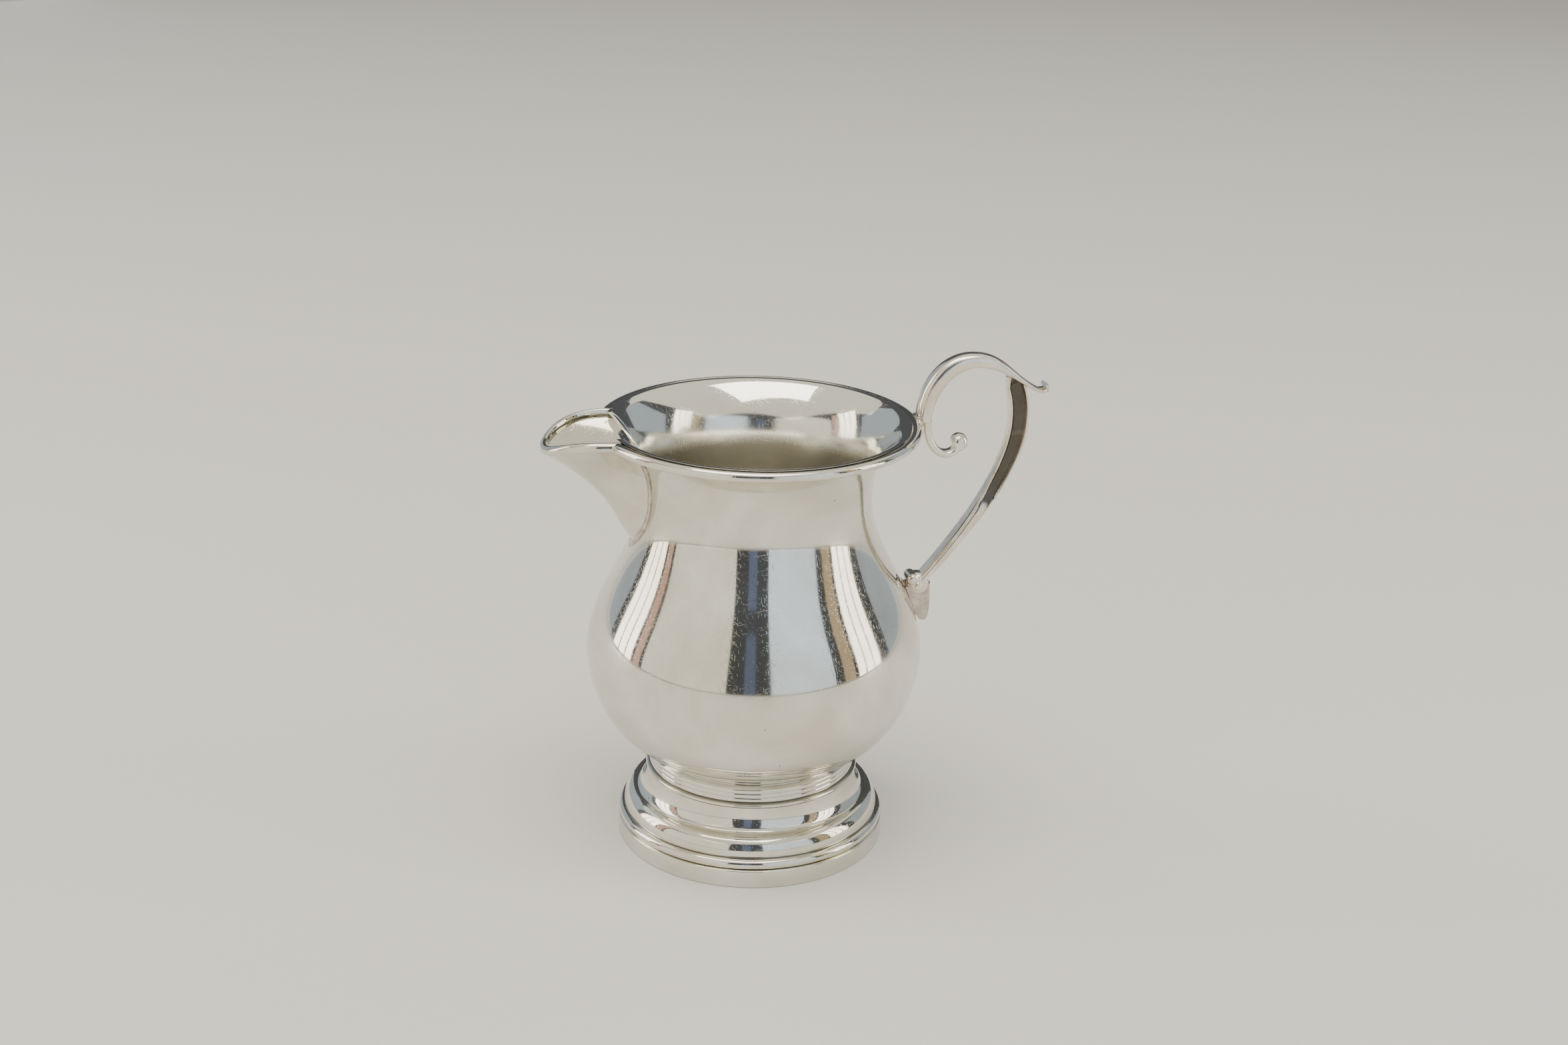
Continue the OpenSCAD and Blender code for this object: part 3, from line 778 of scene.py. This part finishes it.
bm = shaped_grid(24, WIRE_STEPS, wire_place)
bmesh.ops.remove_doubles(bm, verts=bm.verts[:], dist=0.0005)
for side in (-1, 1):
    bearing = math.pi - side * cusp_bearing
    across_cusp = Vector((-math.sin(bearing), math.cos(bearing), 0)) * -side
    bmesh.ops.bisect_plane(bm, geom=bm.verts[:] + bm.edges[:] + bm.faces[:], plane_co=(0, 0, 0),
                           plane_no=across_cusp, clear_outer=True)
bmesh.ops.holes_fill(bm, edges=[e for e in bm.edges if e.is_boundary], sides=0)
bmesh.ops.recalc_face_normals(bm, faces=bm.faces[:])
finish_piece(bm, "spout_wire", [polished], sharp=50)

# %% [markdown]
# ## The foot
#
# The foot is turned like a candlestick's: a collar with three fine reeds, a small bead, a
# hollow sweep, a rounded shoulder, a groove and a half-round moulding. Under it sits a plain
# band on which the jug stands. The outline goes down the outside and back up the inside, as
# one closed line, and is spun once.

# %% Outline of the foot
def arc(cx, cz, rx, rz, first, last, steps):
    """Part of an ellipse, from one angle in degrees to another."""
    turns = [math.radians(first + (last - first) * i / steps) for i in range(steps + 1)]
    return [(cx + rx * math.cos(q), cz + rz * math.sin(q)) for q in turns]


foot_wall = 0.8
collar_r = waist_r + 1.4
collar_z = waist_z - 5.3
sweep_z = collar_z - 4.6
shoulder_w = 2.3
shoulder_x = base_r - 1.1 - shoulder_w
groove_z = band_z + 2.3
bead_r = (groove_z - band_z - 0.3) / 2
sweep_w = shoulder_x - collar_r - 0.5

outside = arc(base_r - bead_r, band_z + bead_r, bead_r, bead_r, -90, 90, 14)
outside += [(shoulder_x + shoulder_w - 0.15, groove_z - 0.22)]
outside += arc(shoulder_x, groove_z, shoulder_w, sweep_z - groove_z, 0, 90, 16)
outside += arc(shoulder_x, collar_z, -sweep_w, sweep_z - collar_z, 84, 0, 16)
outside += arc(collar_r + 0.3, collar_z + 0.35, 0.35, 0.35, -90, 90, 8)
for k in range(3):
    outside += arc(collar_r - 0.1, collar_z + 1.35 + 0.9 * k, 0.12, 0.43, -84, 84, 7)
outside += [(waist_r + 0.55, waist_z - 1.25)]
outside += arc(waist_r + 0.5, waist_z - 0.1, -0.45, 1.0, -90, -15, 6)
outside += [(waist_r, waist_z)]
under = [(waist_r - foot_wall, waist_z - 0.1), (waist_r - foot_wall, collar_z + 1)]
under += arc(shoulder_x, collar_z, -(sweep_w + foot_wall), -(collar_z - sweep_z + foot_wall), 0, 84, 14)
under += arc(shoulder_x, groove_z, shoulder_w - foot_wall, sweep_z - foot_wall - groove_z, 90, 0, 10)
under += [(shoulder_x + shoulder_w - foot_wall, band_z)]
print("foot outline:", len(outside) + len(under), "points")

# %% Spin the foot
def spin_closed(points, steps):
    """Spins a closed outline once round the jug's axis."""
    bm = bmesh.new()
    corners = [bm.verts.new((x, 0, z)) for x, z in points]
    edges = [bm.edges.new(pair) for pair in zip(corners, corners[1:] + corners[:1])]
    bmesh.ops.spin(bm, geom=corners + edges, cent=(0, 0, 0), axis=(0, 0, 1), angle=2 * math.pi,
                   steps=steps, use_merge=True)
    bmesh.ops.remove_doubles(bm, verts=bm.verts[:], dist=0.0005)
    bmesh.ops.recalc_face_normals(bm, faces=bm.faces[:])
    return bm


bm = spin_closed(outside + under, 160)
finish_piece(bm, "foot", [polished], sharp=55, reach=0.11, softening=1)

# %% Spin the resting band
bm = spin_closed([(base_r - 1.4, 0), (base_r, 0), (base_r, band_z), (base_r - 1.4, band_z)], 160)
rounds = [e for e in bm.edges if len(e.link_faces) == 2 and e.calc_face_angle(0) > 1]
bmesh.ops.bevel(bm, geom=rounds, offset=0.25, offset_type="OFFSET", segments=3, profile=0.5,
                affect="EDGES", material=-1)
finish_piece(bm, "foot_ring", [polished], sharp=60)

# %% [markdown]
# ## The handle
#
# The handle is cast in two strips and bent: an upper scroll that thins to a flying leaf with
# a rolled tip, and a channelled limb that springs from under the leaf and comes back to the
# belly. A strip is a path, a thickness that changes along it, and a rounded section. A grid
# rolled round the path makes it, and holes_fill closes its ends.

# %% Section and path of a cast strip
HANDLE_W = 4
SECTION_POWER = 0.75
CHANNEL_HALF = 0.62


def smooth(share):
    share = min(1, max(0, share))
    return share * share * (3 - 2 * share)


def rounded(value):
    """Squares off a circle's sine or cosine a little."""
    return math.copysign(abs(value) ** SECTION_POWER, value)


def strip(path, thickness, width, channel, around, along):
    """path(t) is a point (x, z); thickness, width and channel are functions of t too."""
    def place(a, t):
        here = path(t)
        run = (path(min(t + 0.004, 1)) - path(max(t - 0.004, 0))).normalized()
        turn = 2 * math.pi * a
        c, s = math.cos(turn), math.sin(turn)
        u = thickness(t) / 2 * rounded(c)
        groove = channel(t) * math.exp(-(abs(c) / CHANNEL_HALF) ** 5)
        v = width(t) / 2 * rounded(s) - math.copysign(groove, s) * (abs(s) > 0.2)
        return Vector((here.x - run.y * u, v, here.y + run.x * u))

    bm = shaped_grid(around, along, place)
    bmesh.ops.remove_doubles(bm, verts=bm.verts[:], dist=0.0005)
    bmesh.ops.holes_fill(bm, edges=[e for e in bm.edges if e.is_boundary], sides=0)
    bmesh.ops.recalc_face_normals(bm, faces=bm.faces[:])
    return bm


def number_curve(values, t):
    """A smooth run through four values, the way bezier runs through four points."""
    a, b, c, d = values
    return (1 - t) ** 3 * a + 3 * (1 - t) ** 2 * t * b + 3 * (1 - t) * t * t * c + t ** 3 * d


print("strip helper ready")

# %% Upper scroll and its leaf
root_z = mouth_z - 0.8
root_x = wire_out_r + 1.05
top = Vector((root_x + 9.5, mouth_z + 10.7))
leaf_end = Vector((wire_out_r + 24.2, mouth_z + 4.7))
rise = [Vector((root_x, root_z)), Vector((root_x + 0.1, root_z + 0.56 * (top.y - root_z))),
        Vector((top.x - 5.4, top.y)), top]
leaf = [top, Vector((top.x + 5.2, top.y)), Vector((leaf_end.x - 6.4, leaf_end.y + 2.5)),
        Vector((leaf_end.x - 1.2, leaf_end.y))]
curl = [leaf[3], Vector((leaf_end.x + 0.4, leaf_end.y - 0.6)),
        Vector((leaf_end.x + 1.1, leaf_end.y + 0.4)), Vector((leaf_end.x, leaf_end.y + 1.1))]
SCROLL_THICK = 3.64
# Each part of the scroll: where it starts and ends along the strip, its curve, its taper.
parts = [(0.0, 0.46, rise, [0.8, 1, 1.05, 0.82]), (0.46, 0.93, leaf, [0.82, 0.7, 0.3, 0.24]),
         (0.93, 1.0, curl, [0.24, 0.24, 0.28, 0.22])]


def scroll_part(t):
    for first, last, path, taper in parts:
        if t <= last + 1e-9:
            return path, taper, (t - first) / (last - first)
    return parts[-1][2], parts[-1][3], 1.0


def scroll_path(t):
    path, _, share = scroll_part(t)
    return bezier(path, share)


def scroll_thick(t):
    _, taper, share = scroll_part(t)
    return SCROLL_THICK * number_curve(taper, share)


def scroll_width(t):
    return HANDLE_W * (1 - 0.22 * t ** 3)


bm = strip(scroll_path, scroll_thick, scroll_width, lambda t: 0, 32, 170)
finish_piece(bm, "handle_scroll", [cast], sharp=60)

# %% Channelled limb
KNUCKLE_Z = 50.2
KNUCKLE_R = 2.3
SEAT_SHARE = 0.56
seat = bezier(leaf, SEAT_SHARE)
knuckle_x = bowl_r(KNUCKLE_Z) + 0.5 + KNUCKLE_R
limb_out_x = wire_out_r + 20.6
limb = [seat, Vector((limb_out_x + 3.2, seat.y - 12)),
        Vector((limb_out_x - 5, KNUCKLE_Z + 0.4 * (seat.y - KNUCKLE_Z))),
        Vector((knuckle_x, KNUCKLE_Z))]
LIMB_START = 0.015
LIMB_THICK = 4.2
CHANNEL_DEPTH = 1.35
CHANNEL_ENDS = 0.52
CHANNEL_FADE = 0.18


def limb_channel(t):
    """Deep under the leaf, and fading out two thirds of the way down."""
    return CHANNEL_DEPTH * min(1, t / 0.05) * (1 - smooth((t - CHANNEL_ENDS) / CHANNEL_FADE))


def limb_path(t):
    return bezier(limb, LIMB_START + (1 - LIMB_START) * t)


def limb_thick(t):
    from_leaf = 0.55 + 0.45 * min(1, t / 0.06)
    return LIMB_THICK * number_curve([0.82, 1.25, 0.55, 0.45], t) * from_leaf


def limb_width(t):
    return HANDLE_W * (0.86 + 0.14 * min(1, 8 * t))


def limb_tarnish_and_painted_shade(point):
    """Dark in the channel, where the side face lies below the bar's full width. The dark is
    partly tarnish and partly painted shade, standing in for a dark reflection. It is mottled
    a little and stops short of the bar's two edges."""
    sunk = HANDLE_W / 2 * 0.97 - abs(point.y)
    here = Vector((point.x, point.z))
    away, t = min(((here - limb_path(k / 60)).length, k / 60) for k in range(61))
    from_edge = 0.35 - away / limb_thick(t)
    mottle = 1.1 + 0.2 * noise.noise(point / 2.2)
    return mottle * min(1, max(0, (sunk - 0.1) / 0.25)) * smooth(from_edge / 0.05)


bm = strip(limb_path, limb_thick, limb_width, limb_channel, 64, 150)
# The channel gets its dark coat here: tarnish and painted shade.
finish_piece(bm, "handle_limb", [cast], sharp=60, film_and_shade=limb_tarnish_and_painted_shade)

# %% [markdown]
# ## The inner scroll
#
# A thinner strip curls down from the handle's root and ends in a bulb. The bulb is not a
# separate ball: the strip's own thickness swells into it, so the light flows across.

# %% Inner scroll
BALL_R = 1.65
END = 0.86
inner = [Vector((wire_out_r + 1.75, root_z)), Vector((wire_out_r + 1.75, root_z - 7.5)),
         Vector((wire_out_r + 7.4, root_z - 8.4)), Vector((wire_out_r + 8.2, root_z - 4.4))]


def inner_path(t):
    """Along the curve up to END, and from there straight on through the bulb."""
    if t < END:
        return bezier(inner, t / END)
    onward = (inner[3] - inner[2]).normalized()
    return inner[3] + onward * BALL_R * (t - END) / (1 - END)


def inner_half(t, strip_half):
    """Half a thickness or a width: the strip's own, blended with the bulb's round."""
    beyond = (inner_path(t) - inner[3]).length
    ball = math.sqrt(max(0.0004, BALL_R ** 2 - beyond ** 2)) if beyond < BALL_R else 0.0
    kept = strip_half if t < END else strip_half * max(0, 1 - (t - END) / (1 - END)) ** 0.5
    return (kept ** 4 + ball ** 4) ** 0.25


def inner_thick(t):
    taper = number_curve([0.5, 0.45, 0.4, 0.4], min(1, t / END))
    return 2 * inner_half(t, SCROLL_THICK / 2 * taper)


def inner_width(t):
    return 2 * inner_half(t, HANDLE_W * 0.35)


bm = strip(inner_path, inner_thick, inner_width, lambda t: 0, 28, 120)
finish_piece(bm, "inner_scroll", [cast], sharp=60)

# %% [markdown]
# ## The volute and the shoe
#
# Where the limb meets the belly it ends in a small volute, a rolled end with a raised eye,
# and a drop-shaped shoe that lies along the belly. Short cylinders with well rounded edges
# make the rolls.

# %% Volute
def roll(bm, x, z, radius, width, soft):
    """A short cylinder lying across the handle, with rounded edges."""
    fresh = bmesh.ops.create_cone(bm, cap_ends=True, segments=48, radius1=radius, radius2=radius,
                                  depth=width)["verts"]
    bmesh.ops.rotate(bm, verts=fresh, cent=(0, 0, 0), matrix=Matrix.Rotation(math.pi / 2, 3, "X"))
    bmesh.ops.translate(bm, verts=fresh, vec=(x, 0, z))
    faces = {f for v in fresh for f in v.link_faces}
    rims = [e for f in faces if len(f.verts) > 4 for e in f.edges]
    bmesh.ops.bevel(bm, geom=list(set(rims)), offset=soft, offset_type="OFFSET", segments=8,
                    profile=0.5, affect="EDGES", material=-1)


bm = bmesh.new()
roll(bm, knuckle_x, KNUCKLE_Z, KNUCKLE_R, HANDLE_W, 1.45)
roll(bm, knuckle_x - 0.1, KNUCKLE_Z - 0.2, 0.95, HANDLE_W + 0.5, 0.6)
roll(bm, knuckle_x - KNUCKLE_R / 2, KNUCKLE_Z + KNUCKLE_R / 2, KNUCKLE_R / 2, HANDLE_W + 0.4, 0.85)
finish_piece(bm, "handle_knuckle", [cast], sharp=50)

# %% Shoe
SHOE_LOW = KNUCKLE_Z - KNUCKLE_R - 5.6
SHOE_HALF = 1.6
SHOE_TAPER = 0.65


def shoe_path(t):
    return Vector((knuckle_x + 1 + 0.9 * t, KNUCKLE_Z + (SHOE_LOW - KNUCKLE_Z) * t))


def shoe_shrink(t):
    """Rounds the shoe off at its lower end, where t is 1."""
    return math.sqrt(1 - t ** 5 * 0.97)


def shoe_half(t):
    return (SHOE_HALF - SHOE_TAPER * t) * shoe_shrink(t)


def shoe_width(t):
    return HANDLE_W * (0.86 - 0.42 * t) * shoe_shrink(t)


bm = strip(shoe_path, lambda t: 2 * shoe_half(t), shoe_width, lambda t: 0, 48, 48)
# The side that faces the bowl is led onto the belly and spread a little.
for point in bm.verts:
    share = (KNUCKLE_Z - point.co.z) / (KNUCKLE_Z - SHOE_LOW)
    inward = shoe_path(share).x - point.co.x
    if inward > 0:
        lean = min(1, inward / (SHOE_HALF - SHOE_TAPER * share))
        reach = shoe_path(share).x - bowl_r(point.co.z) - 0.05
        point.co.x = shoe_path(share).x - reach * lean ** 0.8
        kept = shoe_width(min(1, max(0, share))) / 2 * (1 + 0.18 * lean)
        widened = abs(point.co.y) + (kept - abs(point.co.y)) * min(1, 3 * lean)
        point.co.y = math.copysign(widened, point.co.y)
finish_piece(bm, "handle_shoe", [solder], sharp=60)

# %% [markdown]
# ## Solder
#
# Solder shows where the parts were joined: a rough web where the handle meets the mouth's
# wire, a fillet behind the shoe, a bead along the spout's seam and one inside the foot. The
# lumps are round shapes whose points are pushed about by noise.

# %% Helper for lumps
def roughen(bm, size, depth):
    """Pushes the points in and out along their normals, by noise of the given size."""
    bm.normal_update()
    for point, normal in [(v, v.normal.copy()) for v in bm.verts]:
        point.co += normal * depth * noise.fractal(point.co / size, 1.0, 2.0, 3)


def lump(node, middle, half, size, depth, shape=None):
    bm = bmesh.new()
    bmesh.ops.create_icosphere(bm, subdivisions=5, radius=1)
    for point in bm.verts:
        point.co = Vector([m + h * c for m, h, c in zip(middle, half, point.co)])
        if shape:
            point.co = shape(point.co)
    roughen(bm, size, depth)
    finish_piece(bm, node, [solder], sharp=80)


def round_the_rim(point):
    """Bends a lump to the curve of the mouth's wire."""
    turn = point.y / wire_out_r
    out = point.x
    return Vector((out * math.cos(turn), out * math.sin(turn), point.z))


lump("rim_solder", (wire_out_r - 0.1, 0, mouth_z - 0.75), (1.15, 3.1, 1.0), 0.8, 0.14,
     round_the_rim)


def along_belly(point):
    """Measures a lump's x from the belly's outline, so that it follows the curve."""
    return Vector((bowl_r(point.z) + point.x, point.y, point.z))


lump("shoe_solder", (0.1, 0, KNUCKLE_Z - 3.0), (0.62, 1.35, 4.1), 0.8, 0.10, along_belly)

# %% Bead along the spout's seam
SEAM_TOP = 0.9


def seam_point(across):
    """The seam runs from the top on one side, round the spout's root, to the other top."""
    side = 2 * across - 1
    share = SEAM_TOP * abs(side)
    z = spout_root_z + (edge_z(math.pi / 2) - spout_root_z) * share
    y = side_w(share) + 0.28
    r = bowl_r(z)
    if abs(side) < 0.02:
        return Vector((-r - 0.15, 0, spout_root_z - 0.5))
    return Vector((-math.sqrt(r * r - y * y) - 0.1, math.copysign(y, side), z))


def seam_place(around, across):
    """A bead of uneven thickness laid round the seam's line."""
    here = seam_point(across)
    run = (seam_point(min(1, across + 0.012)) - seam_point(max(0, across - 0.012))).normalized()
    outward = Vector((here.x, here.y, 0)).normalized()
    side = run.cross(outward).normalized()
    outward = side.cross(run)
    turn = 2 * math.pi * around
    bead = 0.42 + 0.13 * noise.noise(here / 0.9)
    return here + bead * (outward * math.cos(turn) * 0.8 + side * math.sin(turn))


bm = shaped_grid(12, 150, seam_place)
bmesh.ops.remove_doubles(bm, verts=bm.verts[:], dist=0.0005)
bmesh.ops.holes_fill(bm, edges=[e for e in bm.edges if e.is_boundary], sides=0)
bmesh.ops.recalc_face_normals(bm, faces=bm.faces[:])
roughen(bm, 0.7, 0.05)
finish_piece(bm, "spout_solder", [solder], sharp=80)

# %% Bead inside the foot
bead = arc(waist_r - foot_wall - 0.25, waist_z - bottom_sag - 0.15, 0.55, 0.6, 0, 324, 9)
bm = spin_closed(bead, 120)
roughen(bm, 1.2, 0.12)
finish_piece(bm, "foot_solder", [solder], sharp=80)
